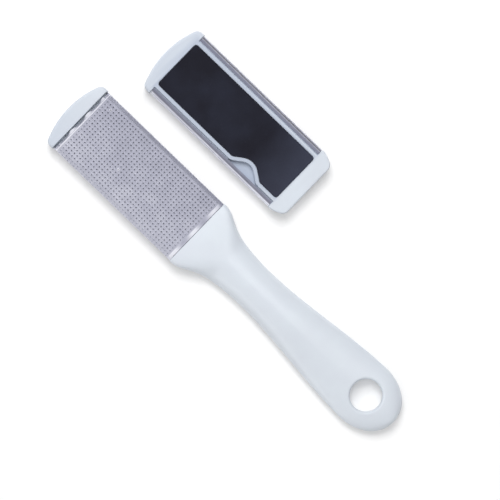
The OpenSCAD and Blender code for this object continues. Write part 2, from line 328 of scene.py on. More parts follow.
def emery_outline(d):
    """The emery sheet's outline, pushed outwards by d"""
    x0 = bed_x0 + emery_gap - d
    x1 = bed_x1 - emery_gap + d
    y = emery_y + d
    r = emery_corner_r + d
    return (
        notch_curve(-emery_y, d)
        + arc(x1 - r, -y + r, r, -90, 0)
        + arc(x1 - r, y - r, r, 0, 90)
        + arc(x0 + r, y - r, r, 90, 180)
        + arc(x0 + r, -y + r, r, 180, 270)
    )


def rim_outline(inset):
    """The rim's outer outline with the notch let into it, run on into the tip and the end block"""
    y = rim_y - inset
    x0 = bed_x0 - overlap
    x1 = bed_x1 + overlap
    return notch_curve(-emery_y, y - emery_y) + [(x1, -y), (x1, y), (x0, y), (x0, -y)]


def tip_outline(inset, rear_inset):
    """The arched tip with round corners and a straight rear"""
    r = tip_corner_r - inset
    y = head_w / 2 - tip_corner_r
    x = tip_arc_r - math.sqrt((tip_arc_r - tip_corner_r) ** 2 - y ** 2)
    turn = math.degrees(math.atan2(y, tip_arc_r - x))
    return (
        arc(tip_arc_r, 0, tip_arc_r - inset, 180 - turn, 180 + turn, steps=36)
        + arc(x, -y, r, 180 + turn, 270)
        + [(tip_l - rear_inset, -y - r), (tip_l - rear_inset, y + r)]
        + arc(x, y, r, 90, 180 - turn)
    )


def block_outline(inset):
    """The end block's sides run just inside the outline of the handle's flare, up to round corners"""
    r = block_corner_r - inset
    corner_x = head_l - block_corner_r
    straight_steps = 16
    corner_steps = 12
    places = [(bed_x1 + (corner_x - bed_x1) * i / straight_steps, 0) for i in range(straight_steps)]
    for i in range(corner_steps + 1):
        a = math.pi / 2 * i / corner_steps
        places.append((corner_x + r * math.sin(a), r - r * math.cos(a)))
    side = [(x, half_width(x - face_x1 - joint_gap) - block_inset - inset - drop) for x, drop in places]
    return [(x, -y) for x, y in side] + side[::-1]


# Solids

def ring_faces(rows):
    """Faces between closed rows of as many vertices each"""
    faces = []
    for row, following in zip(rows, rows[1:]):
        for i in range(len(row)):
            j = (i + 1) % len(row)
            faces.append((row[i], row[j], following[j], following[i]))
    return faces


def bridge(bm, rows):
    """Joins closed rows of vertices with faces"""
    for face in ring_faces(rows):
        bm.faces.new(face)


def closed_mesh(bm):
    """The mesh of a closed skin, with its normals outwards"""
    bmesh.ops.recalc_face_normals(bm, faces=bm.faces)
    mesh = bpy.data.meshes.new("solid")
    bm.to_mesh(mesh)
    bm.free()
    return mesh


def ring_solid(rings):
    """A closed solid through a row of rings with as many points each"""
    bm = bmesh.new()
    rows = [[bm.verts.new(point) for point in ring] for ring in rings]
    bridge(bm, rows)
    bm.faces.new(rows[0])
    bm.faces.new(rows[-1])
    return closed_mesh(bm)


def stack(levels):
    """A solid from outlines of the X-Y plane, each at its own height"""
    return ring_solid([[(x, y, z) for x, y in outline] for z, outline in levels])


def block_solid(low, high):
    """A box between two corners"""
    outline = [(low[0], low[1]), (high[0], low[1]), (high[0], high[1]), (low[0], high[1])]
    return stack([(low[2], outline), (high[2], outline)])


def rounding(r, steps=8):
    """How far a rounded edge is drawn in at each depth below its flat face"""
    angles = [math.pi / 2 * i / steps for i in range(steps + 1)]
    return [(r - r * math.sin(a), r - r * math.cos(a)) for a in angles]


def combine(mesh, steps):
    """Applies exact booleans to a mesh, one after another"""
    base = bpy.data.objects.new("base", mesh)
    bpy.context.scene.collection.objects.link(base)
    for operation, other in steps:
        tool = bpy.data.objects.new("tool", other)
        bpy.context.scene.collection.objects.link(tool)
        change = base.modifiers.new("change", "BOOLEAN")
        change.operation = operation
        change.solver = "EXACT"
        change.object = tool
        changed = bpy.data.meshes.new_from_object(base.evaluated_get(bpy.context.evaluated_depsgraph_get()))
        base.modifiers.clear()
        base.data = changed
        bpy.data.objects.remove(tool)
    result = base.data
    bpy.data.objects.remove(base)
    return result


def piece(name, mesh, place, material, body, node, sharp=30):
    """A piece of the object in the object's frame, with soft and sharp edges told apart by angle"""
    mesh = mesh.copy()
    mesh.name = name
    mesh.transform(PLACE[place])
    mesh.polygons.foreach_set("use_smooth", [True] * len(mesh.polygons))
    mesh.set_sharp_from_angle(angle=math.radians(sharp))
    mesh.materials.clear()
    mesh.materials.append(material)
    obj = bpy.data.objects.new(name, mesh)
    bpy.context.scene.collection.objects.link(obj)
    weighted = obj.modifiers.new("weighted_normals", "WEIGHTED_NORMAL")
    weighted.keep_sharp = True
    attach(obj, body)
    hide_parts(node)
    return obj


# The handle

def top_height(x):
    """The height of the handle's ridge at x"""
    if x < neck_t_x:
        crown = crown_h * math.sin(math.pi / 2 * min(x / crown_l, 1))
        return front_z + crown + (neck_t - front_z - crown_h) * ease(x, 0, neck_t_x)
    return neck_t + (grip_t - neck_t) * ease(x, neck_t_x, grip_end_x)


def half_section(x, above):
    """Half width, height from the middle and exponent of one half of the handle's section"""
    draw = max(end_draw(x) ** end_t_share, end_tip_share)
    height = (top_height(x) - mid_z) * draw if above else -mid_z * draw
    power = front_share + ((top_share if above else low_share) - front_share) * ease(x, 0, round_end_x)
    return half_width(x), height, power


def surface_z(x, y, above):
    """The height of the handle's upper or lower surface"""
    half_w, height, power = half_section(x, above)
    return mid_z + height * max(1 - abs(y / half_w) ** power, 0) ** (1 / power)


def spread(points, count):
    """count + 1 points at even distances along a finely drawn curve"""
    points = np.array(points)
    lengths = np.concatenate([[0], np.cumsum(np.linalg.norm(np.diff(points, axis=0), axis=1))])
    places = np.linspace(0, lengths[-1], count + 1)
    return np.stack([np.interp(places, lengths, points[:, k]) for k in range(points.shape[1])], axis=1)


def half_ring(x, inset, above):
    """The section's upper half from +y to -y, or its lower half from -y to +y, without its last point"""
    half_w, height, power = half_section(x, above)
    half_w -= inset
    height -= math.copysign(inset, height)
    fine_steps = 360
    points = []
    for i in range(fine_steps + 1):
        a = math.pi * i / fine_steps
        y = math.copysign(abs(math.cos(a)) ** (2 / power), math.cos(a)) * half_w
        z = mid_z + abs(math.sin(a)) ** (2 / power) * height
        points.append((y, z) if above else (-y, z))
    return [(x, y, z) for y, z in spread(points, half_count)][:-1]


def handle_rings():
    """The handle's sections from its rounded front edge to the junction before the hanging hole"""
    stations = []
    for i in range(front_count):
        a = math.pi * i / (2 * front_count)
        stations.append((front_edge_r * (1 - math.cos(a)), front_edge_r * (1 - math.sin(a))))
    for i in range(length_count + 1):
        stations.append((front_edge_r + (junction_x - front_edge_r) * i / length_count, 0))
    return [half_ring(x, inset, True) + half_ring(x, inset, False) for x, inset in stations]


def end_outline():
    """Points at even distances around the round end, between the junction's two sides"""
    fine_steps = 700
    side = [(junction_x, half_width(junction_x))]
    for i in range(1, fine_steps):
        x = junction_x + (handle_l - junction_x) * math.sin(math.pi / 2 * i / fine_steps)
        side.append((x, half_width(x)))
    outline = side + [(handle_l, 0)] + [(x, -y) for x, y in reversed(side)]
    return spread(outline, edge_count)[1:-1]


def hole_patch(bm, boundary, above):
    """Faces on rays from the hanging hole's lip to the vertices around it. Returns the lip's inner row"""
    side = 1 if above else -1
    lip_r = hole_r + hole_edge_r
    fine_steps = 400
    columns = []
    for vert in boundary:
        reach = math.hypot(vert.co.x - hole_x, vert.co.y)
        dx = (vert.co.x - hole_x) / reach
        dy = vert.co.y / reach
        lip_z = surface_z(hole_x + dx * lip_r, dy * lip_r, above)
        points = []
        for i in range(lip_count):
            a = math.pi / 2 * i / lip_count
            r = lip_r - hole_edge_r * math.cos(a)
            points.append((hole_x + dx * r, dy * r, lip_z - side * hole_edge_r * (1 - math.sin(a))))
        fine = []
        for i in range(fine_steps):
            r = lip_r + (reach - lip_r) * math.sin(math.pi / 2 * i / fine_steps)
            x = hole_x + dx * r
            y = dy * r
            fine.append((x, y, surface_z(x, y, above)))
        fine.append(tuple(vert.co))
        points += [tuple(point) for point in spread(fine, ray_count)[:-1]]
        columns.append([bm.verts.new(point) for point in points] + [vert])
    for column, following in zip(columns, columns[1:] + columns[:1]):
        for i in range(len(column) - 1):
            bm.faces.new((column[i], column[i + 1], following[i + 1], following[i]))
    return [column[0] for column in columns]


def tongue_solid():
    """The flat tongue under the handle's front, run into the handle"""
    x0 = lap_x - tongue_l
    x1 = lap_x + overrun
    y = tongue_w / 2
    r = tongue_corner_r
    outline = arc(x0 + r, y - r, r, 90, 180) + arc(x0 + r, -y + r, r, 180, 270) + [(x1, -y), (x1, y)]
    return stack([(tongue_z, outline), (tongue_z + tongue_t, outline)])


def handle_mesh():
    """The handle's skin, with a patch of rays around its hole, and the lap and tongue at its front"""
    bm = bmesh.new()
    rows = [[bm.verts.new(point) for point in ring] for ring in handle_rings()]
    bridge(bm, rows)
    bm.faces.new(rows[0])
    last = rows[-1]
    edge = [bm.verts.new((x, y, mid_z)) for x, y in end_outline()]
    upper = [last[i] for i in range(half_count, -1, -1)]
    lower = [last[(half_count + i) % len(last)] for i in range(half_count + 1)]
    top_lip = hole_patch(bm, edge + upper, True)
    low_lip = hole_patch(bm, edge + lower, False)
    bridge(bm, [top_lip, low_lip])
    lap = block_solid((-overrun, -head_w, -overrun), (lap_x, head_w, shoulder_z))
    return combine(closed_mesh(bm), [("DIFFERENCE", lap), ("UNION", tongue_solid())])


# The head's moulding

def wrap_ring(x, inset):
    """The closed section inside the sheet at x, up to the ledge"""
    y = plate_y - inset
    low_r = plate_edge_r - inset
    high_r = rail_edge_r - sheet_t
    points = (
        arc(y - low_r, inset + low_r, low_r, -90, 0)
        + arc(y - high_r, ledge_z - high_r, high_r, 0, 90)
        + arc(-y + high_r, ledge_z - high_r, high_r, 90, 180)
        + arc(-y + low_r, inset + low_r, low_r, 180, 270)
    )
    return [(x, y, z) for y, z in points]


def bed_solid():
    """The bed from the tip to the end block, with slots for the sheet's bent ends"""
    nose_z = plate_end_h + sheet_fit
    slot_z = nose_z + slot_h
    low_z = bed_z + bed_gap
    low_x0 = face_x0 + bed_z + bed_fit
    low_x1 = face_x1 - (bed_z + bed_fit)
    profile = [
        (bed_x0 - overlap, slot_z), (low_x0, slot_z), (low_x0, low_z), (low_x1, low_z), (low_x1, nose_z),
        (face_x1, nose_z), (face_x1, block_z), (bed_x1, block_z), (bed_x1, block_z + overlap),
        (bed_x1 + overlap, block_z + overlap), (bed_x1 + overlap, ledge_z), (bed_x0 - overlap, ledge_z),
    ]
    return ring_solid([[(x, y, z) for x, z in profile] for y in (-head_w, head_w)])


def tip_solid():
    """The tip, rounded all round, with a smaller rounding on the rasp side of its rear"""
    edge = rounding(tip_edge_r)
    levels = []
    for depth, inset in reversed(edge):
        rear_inset = tip_rear_r - math.sqrt(max(tip_rear_r ** 2 - max(tip_rear_r - depth, 0) ** 2, 0))
        levels.append((tip_drop + depth, tip_outline(inset, rear_inset)))
    levels += [(rim_z - depth, tip_outline(inset, 0)) for depth, inset in edge]
    return stack(levels)


def end_block_solid():
    """The end block that goes under the handle's flare"""
    edge = rounding(block_edge_r)
    levels = [(block_z + depth, block_outline(inset)) for depth, inset in reversed(edge)]
    levels += [(rim_z - depth, block_outline(inset)) for depth, inset in edge]
    return stack(levels)


def rim_solid():
    """The raised rim around the emery sheet"""
    edge = rounding(rim_edge_r, steps=5)
    levels = [(ledge_z - overlap, rim_outline(0))]
    levels += [(rim_z - depth, rim_outline(inset)) for depth, inset in edge]
    return stack(levels)


def recess_solid():
    """What the recess of the emery sheet takes away, with its rounded brim"""
    edge = rounding(rim_edge_r, steps=5)
    levels = [(floor_z, emery_outline(emery_gap))]
    levels += [(rim_z - depth, emery_outline(emery_gap + inset)) for depth, inset in edge]
    levels += [(head_t + overrun, emery_outline(emery_gap + rim_edge_r))]
    return stack(levels)


def notch_solid():
    """What the finger notch takes away outside the rim, down to its floor"""
    outline = notch_curve(-emery_y, rim_y - emery_y)
    outline += [(outline[-1][0], -rail_y), (outline[0][0], -rail_y)]
    return stack([(notch_z, outline), (head_t, outline)])


def pocket_solids():
    """The hollows between the bed's ribs, and the gap between the ribs and the steel"""
    x0 = face_x0 + bed_z + end_wall
    y0 = -plate_y + bed_z + side_wall
    size_x = (face_x1 - bed_z - end_wall - x0 + rib_t) / pocket_count[0]
    size_y = (-2 * y0 + rib_t) / pocket_count[1]
    solids = []
    for i in range(pocket_count[0]):
        for j in range(pocket_count[1]):
            x = x0 + i * size_x
            y = y0 + j * size_y
            solids.append(block_solid((x, y, -overrun), (x + size_x - rib_t, y + size_y - rib_t, web_z)))
    solids.append(block_solid((x0, y0, -overrun), (-x0 + face_x0 + face_x1, -y0, rib_lift)))
    return solids


def tongue_slot_solid():
    """What the tongue's slot takes out of the end block"""
    y = tongue_w / 2 + tongue_fit
    half_t = tongue_t / 2 + tongue_fit
    z = (rim_z + block_z) / 2
    return block_solid((head_l - tongue_l, -y, z - half_t), (head_l + overrun, y, z + half_t))


def painted_shade_at(point):
    """How much painted shade the moulding has at a point"""
    x, y, z = point
    within_rim = abs(y) < rim_y + near
    if abs(z - notch_z) < near and abs(x - notch_x) < notch_half_l and y < -emery_y + notch_h:
        return hollow_painted_shade
    if abs(z - ledge_z) < near:
        return hollow_painted_shade
    # Painted shade across the tip's side below the steel, darker towards +y
    if x < bed_x0 + near and z < head_t / 2:
        return tip_side_painted_shade + tip_side_shade_slope * y / head_w
    if z < rim_z - rim_edge_r - near or x > bed_x1 + shaded_brim_w:
        return 0
    if x > bed_x1 - near:
        return block_brim_painted_shade if within_rim else 0
    return rim_painted_shade if x > bed_x0 - shaded_brim_w and within_rim else tip_brim_painted_shade


def frame_mesh():
    """The head's moulding, which carries its painted shade as the attribute deep"""
    section = ring_solid([wrap_ring(x, bed_z) for x in (0, head_l)])
    steps = [("INTERSECT", section)]
    steps += [("UNION", solid) for solid in (tip_solid(), end_block_solid(), rim_solid())]
    cuts = [recess_solid(), notch_solid(), *pocket_solids(), tongue_slot_solid()]
    steps += [("DIFFERENCE", cut) for cut in cuts]
    mesh = combine(bed_solid(), steps)
    # Painted shade in the hollows, on the rim and brims and across the tip's side
    deep = mesh.attributes.new("deep", "FLOAT", "POINT")
    deep.data.foreach_set("value", [painted_shade_at(vert.co) for vert in mesh.vertices])
    return mesh


# The punched sheet is a lattice. Its lines along the head lie at a distance s from the middle of its face,
# measured around its outside: over the flat face, the rounded edge, the side wall, the bend and the rail

flat_s = plate_y - plate_edge_r
wall_s = flat_s + math.pi / 2 * plate_edge_r
wall_l = rail_z - rail_edge_r - plate_edge_r
bend_s = wall_s + wall_l
bend_l = math.pi / 2 * rail_edge_r
rail_s = bend_s + bend_l

cell_steps = 3
bend_steps = 6
flange_steps = 3
tab_steps = 26
step_s = pitch_y / cell_steps
step_x = pitch_x / cell_steps
half_cells = hole_count_y * cell_steps // 2
field_s = half_cells * step_s
field_l = hole_count_x * pitch_x
field_x0 = (face_x0 + face_x1 - field_l) / 2
field_x1 = field_x0 + field_l
tab_s = tab_steps * step_s

# A line across the head is flat or belongs to the front or back end. There turn is its angle round the
# bend in degrees, drop its share of the bent end's depth, and x where it is on the side walls

Line = namedtuple("Line", "end turn drop x")


def lines_along():
    """The distances s of the lines along the head"""
    wall_heights = (0.8, block_z - plate_edge_r, 2.6, 3.6, wall_l)
    outer = [wall_s]
    outer += [wall_s + height for height in wall_heights]
    outer += [bend_s + bend_l * k / bend_steps for k in range(1, bend_steps + 1)]
    outer += [rail_s + (rail_w - rail_edge_r) * k / flange_steps for k in range(1, flange_steps + 1)]
    field = [k * step_s for k in range(-half_cells, half_cells + 1)]
    return [-s for s in reversed(outer)] + field + outer


def lines_across():
    """The lines across the head, from the bent front end to the bent rear end"""
    lines = []
    for k in range(flange_steps):
        x = plate_x0 + (face_x0 - plate_x0) * k / flange_steps
        lines.append(Line("front", 90, 1 - k / flange_steps, x))
    for k in range(bend_steps):
        x = face_x0 + (plate_end_r - lip_w) * k / bend_steps
        lines.append(Line("front", 90 - 90 * k / bend_steps, 0, x))
    flats = [face_x0 + plate_end_r + d for d in (-lip_w, -lip_flat_w, lip_flat_w, lip_w)]
    flats += [field_x0 + k * step_x for k in range(hole_count_x * cell_steps + 1)]
    flats += [field_x1 + band_inset, rear_x - plate_rear_r]
    lines += [Line("flat", 0, 0, x) for x in flats]
    for k in range(1, bend_steps + 1):
        x = rear_x - plate_rear_r + plate_rear_r * k / bend_steps
        lines.append(Line("back", 90 * k / bend_steps, 0, x))
    for k in range(1, flange_steps + 1):
        x = rear_x + (plate_x1 - rear_x) * k / flange_steps
        lines.append(Line("back", 90, k / flange_steps, x))
    return lines


lines_s = lines_along()
lines_x = lines_across()
front_lines = flange_steps + bend_steps
lip_i = (front_lines + 1, front_lines + 2)
field_i = front_lines + 4
field_j = len(lines_s) // 2 - half_cells
band_i = field_i + hole_count_x * cell_steps + 1


def wrap_point(s):
    """A point of the sheet's outside and its normal, in y and z, at the distance s"""
    side = math.copysign(1, s)
    s = abs(s)
    if s <= flat_s:
        return side * s, 0, 0, -1
    if s <= wall_s:
        a = (s - flat_s) / plate_edge_r
        y = flat_s + plate_edge_r * math.sin(a)
        return side * y, plate_edge_r * (1 - math.cos(a)), side * math.sin(a), -math.cos(a)
    s -= wall_s
    if s <= wall_l:
        return side * plate_y, plate_edge_r + s, side, 0
    s -= wall_l
    if s <= bend_l:
        a = s / rail_edge_r
        y = plate_y - rail_edge_r * (1 - math.cos(a))
        return side * y, rail_z - rail_edge_r * (1 - math.sin(a)), side * math.cos(a), math.sin(a)
    return side * (plate_y - rail_edge_r - (s - bend_l)), rail_z, 0, 1


def sheet_point(x, s, inset):
    """A point of the wrapped sheet at x and s, inset from its outside"""
    y, z, ny, nz = wrap_point(s)
    return x, y - inset * ny, z - inset * nz


def wave_at(s, length, middle):
    """A wave of s between -1 and 1, with a crest at middle"""
    return math.cos((s - middle) * 2 * math.pi / length)


def lattice_point(i, j, inset):
    """The lattice's point at the crossing of two lines, inset from its outside"""
    line = lines_x[i]
    s = lines_s[j]
    if line.end == "flat" or abs(s) > tab_s + near:
        return sheet_point(line.x, s, inset)
    a = math.radians(line.turn)
    end_r = plate_end_r - lip_w if line.end == "front" else plate_rear_r
    r = end_r - inset
    reach = end_r - r * math.sin(a)
    z = end_r - r * math.cos(a) + line.drop * (plate_end_h - end_r)
    if line.end == "back":
        return rear_x - reach, s, z
    wave = wave_h * wave_at(s, wave_l, wave_s) - wave_reach
    return face_x0 + reach + wave * max(line.turn - wave_turn, 0) / (90 - wave_turn), s, z


def tone_at(i, j):
    """How bright the steel is painted at the crossing of two lines, with painted light on its rails, band,
    lip and front flange
    """
    s = lines_s[j]
    # Painted reflections on the bends of the rails, falling to painted shade on the rail flats
    if abs(s) > bend_s + near:
        share = min((abs(s) - bend_s) / bend_l, 1)
        if s < 0:
            return np.interp(share, near_rail_shares, near_rail_painted_light)
        return np.interp(share, far_rail_shares, far_rail_painted_light)
    # A painted sheen along the rear band, brighter at the crests of its wave
    if i >= band_i:
        return band_sheen + band_sheen_change * wave_at(s, band_sheen_l, band_sheen_s)
    # A painted highlight on the lip behind the front bend
    if i in lip_i:
        return 1
    # Painted shade in the troughs of the waved front flange, with painted glints between them
    if lines_x[i].end == "front" and abs(s) <= tab_s + near:
        return flat_tone - flat_tone * wave_at(s, wave_l, wave_s)
    return flat_tone


def is_present(i, j):
    """Whether the sheet has the lattice cell from (i, j) to (i + 1, j + 1)"""
    front = lines_x[i].end == "front"
    back = lines_x[i + 1].end == "back"
    if not front and not back:
        return True
    low_s, high_s = sorted((abs(lines_s[j]), abs(lines_s[j + 1])))
    if high_s <= tab_s + near:
        return True
    if low_s <= tab_s + near:
        return False
    if front and lines_x[i].drop > 0:
        return low_s >= field_s - near
    if back and lines_x[i + 1].drop > 0:
        return low_s >= wall_s + block_z - plate_edge_r - near
    return True


def is_punched(i, j):
    """Whether the lattice cell from (i, j) to (i + 1, j + 1) belongs to the rasp field"""
    in_x = field_i <= i < field_i + hole_count_x * cell_steps
    return in_x and field_j <= j < field_j + hole_count_y * cell_steps


def sheet_faces(outer, inner):
    """Faces of the sheet's two sides outside the rasp field, and all around its edges"""
    faces = []
    border = {}
    for i in range(len(lines_x) - 1):
        for j in range(len(lines_s) - 1):
            if not is_present(i, j):
                continue
            corners = [(i, j), (i + 1, j), (i + 1, j + 1), (i, j + 1)]
            for a, b in zip(corners, corners[1:] + corners[:1]):
                if (b, a) in border:
                    del border[b, a]
                else:
                    border[a, b] = True
            if not is_punched(i, j):
                faces.append([outer[corner] for corner in corners])
                faces.append([inner[corner] for corner in reversed(corners)])
    for a, b in border:
        faces.append([outer[b], outer[a], inner[a], inner[b]])
    return faces


def cell_loop():
    """The lattice points on the sides of one cell of the rasp field, counted from its first corner"""
    n = cell_steps
    loop = [(k, 0) for k in range(n)] + [(n, k) for k in range(n)]
    return loop + [(n - k, n) for k in range(n)] + [(0, n - k) for k in range(n)]


def hole_faces(p, q, outer, inner, add):
    """Faces from the sides of one cell down through its hole, p cells along the head and q across it"""
    i0 = field_i + p * cell_steps
    j0 = field_j + q * cell_steps
    x = field_x0 + (p + 0.5) * pitch_x
    s = lines_s[j0] + pitch_y / 2
    loop = cell_loop()
    angles = [math.atan2(b - cell_steps / 2, a - cell_steps / 2) for a, b in loop]
    rows = [[outer[i0 + a, j0 + b] for a, b in loop]]
    for r, depth, tone in hole_rings:
        # Painted glints on a few holes
        if (p, q) in painted_glint_holes and r < painted_glint_r:
            tone = 1
        points = [sheet_point(x + r * math.cos(a), s + r * math.sin(a), depth) for a in angles]
        rows.append([add(point, tone) for point in points])
    rows.append([inner[i0 + a, j0 + b] for a, b in loop])
    return ring_faces(rows)


def plate_mesh():
    """The punched sheet: its outside, its inside and a burred hole in each cell of the rasp field"""
    verts = []
    tones = []

    def add(point, tone):
        verts.append(point)
        tones.append(tone)
        return len(verts) - 1

    outer = {}
    inner = {}
    for i in range(len(lines_x)):
        for j in range(len(lines_s)):
            raised = abs(lines_s[j]) > field_s + near or i in (*lip_i, band_i, band_i + 1)
            outer[i, j] = add(lattice_point(i, j, 0 if raised else burr_h), tone_at(i, j))
            inner[i, j] = add(lattice_point(i, j, inside_d), tone_at(i, j))
    faces = sheet_faces(outer, inner)
    for p in range(hole_count_x):
        for q in range(hole_count_y):
            faces += hole_faces(p, q, outer, inner, add)

    mesh = bpy.data.meshes.new("sheet")
    mesh.from_pydata(verts, [], faces)
    folds = [min(max((z - fold_z) / fold_h, 0), 1) for x, y, z in verts]
    for name, values in (("fold", folds), ("tone", tones)):
        attribute = mesh.attributes.new(name, "FLOAT", "POINT")
        attribute.data.foreach_set("value", values)
    bm = bmesh.new()
    bm.from_mesh(mesh)
    loose = [vert for vert in bm.verts if not vert.link_faces]
    bmesh.ops.delete(bm, geom=loose, context="VERTS")
    bmesh.ops.recalc_face_normals(bm, faces=bm.faces)
    bm.to_mesh(mesh)
    bm.free()
    return mesh


def emery_mesh():
    """The emery sheet, with the edge of its grit side slightly rounded"""
    edge = rounding(emery_edge_r, steps=4)
    levels = [(floor_z + glue_t, emery_outline(0))]
    levels += [(head_t - depth, emery_outline(-inset)) for depth, inset in edge]
    return stack(levels)


# Materials

def new_material(name):
    """A material, its nodes, links and shader, and the place on the object in metres"""
    material = bpy.data.materials.new(name)
    material.use_nodes = True
    nodes = material.node_tree.nodes
    place = nodes.new("ShaderNodeTexCoord").outputs["Object"]
    return material, nodes, material.node_tree.links, nodes["Principled BSDF"], place


def linear(red, green, blue):
    """A colour given in screen values, from 0 to 255"""
    channels = []
    for value in (red, green, blue):
        c = value / 255
        channels.append(c / 12.92 if c <= 0.04045 else ((c + 0.055) / 1.055) ** 2.4)
    return (*channels, 1)


def noise(nodes, links, place, size, detail=3, rough=0.5):
    """Noise whose spots are about size millimetres wide"""
    node = nodes.new("ShaderNodeTexNoise")
    node.inputs["Scale"].default_value = 1 / (size * MM)
    node.inputs["Detail"].default_value = detail
    node.inputs["Roughness"].default_value = rough
    links.new(place, node.inputs["Vector"])
    return node.outputs["Fac"]


def attribute_value(nodes, name):
    """A value that the mesh carries at its points"""
    node = nodes.new("ShaderNodeAttribute")
    node.attribute_name = name
    return node.outputs["Fac"]


def share_along(nodes, links, axis):
    """The place along an axis of the piece's own box, from 0 to 1"""
    whole = nodes.new("ShaderNodeTexCoord")
    axes = nodes.new("ShaderNodeSeparateXYZ")
    links.new(whole.outputs["Generated"], axes.inputs["Vector"])
    return axes.outputs[axis]


def map_range(nodes, links, value, low, high, start=0, end=1):
    """Brings a value from the range start to end to the range low to high"""
    node = nodes.new("ShaderNodeMapRange")
    node.inputs["From Min"].default_value = start
    node.inputs["From Max"].default_value = end
    node.inputs["To Min"].default_value = low
    node.inputs["To Max"].default_value = high
    links.new(value, node.inputs["Value"])
    return node.outputs["Result"]


def span(nodes, links, value, low, high):
    """Brings noise to the range low to high"""
    return map_range(nodes, links, value, low, high, start=0.3, end=0.7)


def calculate(nodes, links, operation, first, second):
    """A sum or another operation on two sockets"""
    node = nodes.new("ShaderNodeMath")
    node.operation = operation
    links.new(first, node.inputs[0])
    links.new(second, node.inputs[1])
    return node.outputs[0]


def blend(nodes, links, value, low, high, low_colour, high_colour):
    """Colours the range of a value from low to high"""
    ramp = nodes.new("ShaderNodeValToRGB")
    ramp.color_ramp.elements[0].position = low
    ramp.color_ramp.elements[1].position = high
    ramp.color_ramp.elements[0].color = low_colour
    ramp.color_ramp.elements[1].color = high_colour
    links.new(value, ramp.inputs["Fac"])
    return ramp.outputs["Color"]


def add_colour(nodes, links, base, extra, share):
    """Adds a share of one colour to another"""
    node = nodes.new("ShaderNodeMix")
    node.data_type = "RGBA"
    node.blend_type = "ADD"
    node.inputs["Factor"].default_value = share
    links.new(base, node.inputs["A"])
    links.new(extra, node.inputs["B"])
    return node.outputs["Result"]


def bump(nodes, links, value, height, shader):
    """Raises a surface by height millimetres with a value"""
    node = nodes.new("ShaderNodeBump")
    node.inputs["Distance"].default_value = height * MM
    links.new(value, node.inputs["Height"])
    links.new(node.outputs["Normal"], shader.inputs["Normal"])


def plastic_material(name, rough, grain, gloss, colour, shade, deep_colour=None):
    """Moulded plastic with a faint cloudiness and a fine grain, with painted shade where the mesh carries
    it
    """
    material, nodes, links, shader, place = new_material(name)
    base = blend(nodes, links, noise(nodes, links, place, size=14), 0.3, 0.7, shade, colour)
    # Painted shade, mixed in by the mesh's deep attribute
    if deep_colour:
        tint = nodes.new("ShaderNodeMix")
        tint.data_type = "RGBA"
        tint.inputs["B"].default_value = deep_colour
        links.new(attribute_value(nodes, "deep"), tint.inputs["Factor"])
        links.new(base, tint.inputs["A"])
        base = tint.outputs["Result"]
    links.new(base, shader.inputs["Base Color"])
    fine = noise(nodes, links, place, size=0.35, detail=2)
    links.new(span(nodes, links, fine, rough - 0.03, rough + 0.03), shader.inputs["Roughness"])
    bump(nodes, links, fine, grain, shader)
    shader.inputs["IOR"].default_value = 1.55
    shader.inputs["Specular IOR Level"].default_value = gloss
    return material


def steel_material(name, dark_colour, dull_colour, bright_colour):
    """Plated sheet steel, dull from the punching and clear on its folds, with painted highlights,
    reflections and shade in its colour
    """
    material, nodes, links, shader, place = new_material(name)
    stretch = nodes.new("ShaderNodeMapping")
    stretch.inputs["Scale"].default_value = (0.3, 1, 1)
    links.new(place, stretch.inputs["Vector"])
    marks = noise(nodes, links, stretch.outputs["Vector"], size=0.9)
    bump(nodes, links, marks, 0.008, shader)

    tone_drift = span(nodes, links, noise(nodes, links, place, size=6, detail=2), low=-0.06, high=0.06)
    # Painted shade across the piece, lighter on its -Y side and darker on its +Y side
    painted_side_shade = map_range(nodes, links, share_along(nodes, links, "Y"), low=0.1, high=-0.1)
    tone = calculate(nodes, links, "ADD", attribute_value(nodes, "tone"), tone_drift)
    tone = calculate(nodes, links, "ADD", tone, painted_side_shade)
    ramp = nodes.new("ShaderNodeValToRGB")
    ramp.color_ramp.elements[0].color = dark_colour
    ramp.color_ramp.elements[1].color = bright_colour
    ramp.color_ramp.elements.new(flat_tone).color = dull_colour
    links.new(tone, ramp.inputs["Fac"])
    links.new(ramp.outputs["Color"], shader.inputs["Base Color"])

    fold = attribute_value(nodes, "fold")
    links.new(map_range(nodes, links, fold, low=0.4, high=1), shader.inputs["Metallic"])
    links.new(map_range(nodes, links, fold, low=0.45, high=0.3), shader.inputs["Roughness"])
    return material


def emery_material(name):
    """Near-black grit in resin, with single grains that catch the light, lighter towards its end block"""
    black = (0, 0, 0, 1)
    material, nodes, links, shader, place = new_material(name)
    grain = noise(nodes, links, place, size=0.3, rough=0.6)
    patches = noise(nodes, links, place, size=16, detail=2)
    base = blend(nodes, links, patches, 0.35, 0.75, linear(30, 30, 39), linear(38, 40, 52))
    # Lighter towards the end block
    tone_drift = blend(nodes, links, share_along(nodes, links, "X"), 0.7, 1, black, linear(42, 45, 56))
    specks = blend(nodes, links, grain, 0.68, 0.76, black, linear(84, 86, 100))
    colour = add_colour(nodes, links, base, tone_drift, share=1)
    colour = add_colour(nodes, links, colour, specks, share=0.5)
    links.new(colour, shader.inputs["Base Color"])
    links.new(span(nodes, links, grain, low=0.9, high=0.7), shader.inputs["Roughness"])
    bump(nodes, links, grain, 0.06, shader)
    shader.inputs["Specular IOR Level"].default_value = 0.2
    return material


def film_material(name):
    """Pale amber adhesive with faint bubbles"""
    material, nodes, links, shader, place = new_material(name)
    bubbles = noise(nodes, links, place, size=1.2)
    colour = blend(nodes, links, bubbles, 0.4, 0.6, linear(214, 203, 172), linear(226, 216, 186))
    links.new(colour, shader.inputs["Base Color"])
    shader.inputs["Roughness"].default_value = 0.4
    return material


handle_plastic = plastic_material(
    "handle_plastic", rough=0.34, grain=0.003, gloss=0.9,
    colour=linear(217, 224, 232), shade=linear(213, 219, 228),
)
